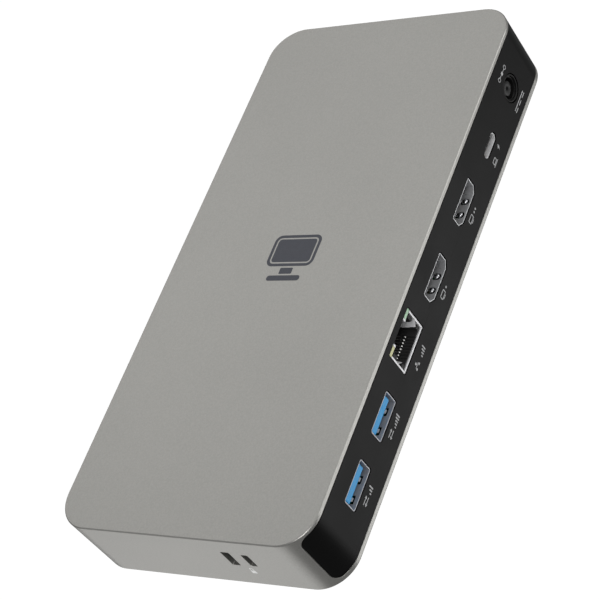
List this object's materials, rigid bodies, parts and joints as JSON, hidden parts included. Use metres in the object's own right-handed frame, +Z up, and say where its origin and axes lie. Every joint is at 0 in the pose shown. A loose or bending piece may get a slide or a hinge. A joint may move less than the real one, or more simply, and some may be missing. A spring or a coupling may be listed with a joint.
{
  "type": "laptop docking station",
  "caption": "Flat desktop laptop docking station: rounded aluminium housing, black port panels let into both long sides, sprung power button, rubber feet and security lock slots.",
  "frame": {"origin": "middle of the footprint, on the surface that the feet stand on", "axes": "+X along the length towards the security lock slots, +Y towards the rear ports, +Z up"},
  "size_m": [0.188, 0.089, 0.0249],
  "materials": {
    "housing": "fine bead-blasted warm grey, satin",
    "panel": "black, smooth satin",
    "cover": "dark grey, fine grain",
    "port_metal": "nickel-plated sheet, lightly brushed",
    "port_black": "black moulded",
    "port_blue": "blue moulded",
    "contacts": "gold-plated",
    "light_green": "clear tinted green",
    "light_yellow": "clear tinted yellow",
    "light_pipe": "clear",
    "board": "green solder mask",
    "chip": "black epoxy",
    "steel": "zinc-plated",
    "bright_aluminium": "plain mill finish",
    "rubber": "matt black",
    "thermal_pad": "soft grey-blue gap filler"
  },
  "bodies": {
    "dock": {"top_shell": "housing", "rear_port_panel": "panel", "front_port_panel": "panel", "bottom_cover": "cover", "main_board": "board", "dc_jack_body": "port_black", "dc_jack_center_post": "steel", "usb_c_host_shell": "port_metal", "usb_c_host_tongue": "port_black", "hdmi_2_shell": "port_metal", "hdmi_2_tongue": "port_black", "hdmi_1_shell": "port_metal", "hdmi_1_tongue": "port_black", "rj45_shield": "port_metal", "rj45_insert": "port_black", "rj45_contacts": "contacts", "rj45_light_green": "light_green", "rj45_light_yellow": "light_yellow", "usb_a_10g_shell": "port_metal", "usb_a_10g_tongue": "port_blue", "usb_a_5g_shell": "port_metal", "usb_a_5g_tongue": "port_blue", "tact_switch_body": "steel", "status_light_pipe": "light_pipe", "front_card_socket": "steel", "front_audio_jack": "port_black", "front_usb_a_shell": "port_metal", "front_usb_a_tongue": "port_blue", "front_usb_c_shell": "port_metal", "front_usb_c_tongue": "port_black", "dock_controller_chip": "chip", "video_chip": "chip", "usb_hub_chip": "chip", "ethernet_chip": "chip", "thermal_pad": "thermal_pad", "heat_spreader": "bright_aluminium", "shield_can": "port_metal", "power_inductor_1": "chip", "power_inductor_2": "chip", "power_inductor_3": "chip", "bulk_capacitor_1": "bright_aluminium", "bulk_capacitor_2": "bright_aluminium", "lock_slot_plate": "steel", "lock_plate_screw_1": "steel", "lock_plate_screw_2": "steel", "case_screw_1": "steel", "case_screw_2": "steel", "case_screw_3": "steel", "case_screw_4": "steel", "board_screw_1": "steel", "board_screw_2": "steel", "board_screw_3": "steel", "board_screw_4": "steel", "foot_1": "rubber", "foot_2": "rubber", "foot_3": "rubber", "foot_4": "rubber"},
    "power_button": {"power_button": "panel"},
    "switch_plunger": {"tact_switch_plunger": "port_black"}
  },
  "joints": [
    {"name": "power_button_press", "type": "slide", "parent": "dock", "child": "power_button", "axis": [0, 1, 0], "range_m": [0, 0.0005], "stiffness_N_per_m": 900, "springref_m": -0.0008},
    {"name": "switch_plunger_press", "type": "slide", "parent": "dock", "child": "switch_plunger", "axis": [0, 1, 0], "range_m": [0, 0.0005]}
  ],
  "couplings": [
    {"joint": "switch_plunger_press", "follows": "power_button_press", "ratio": 1}
  ]
}
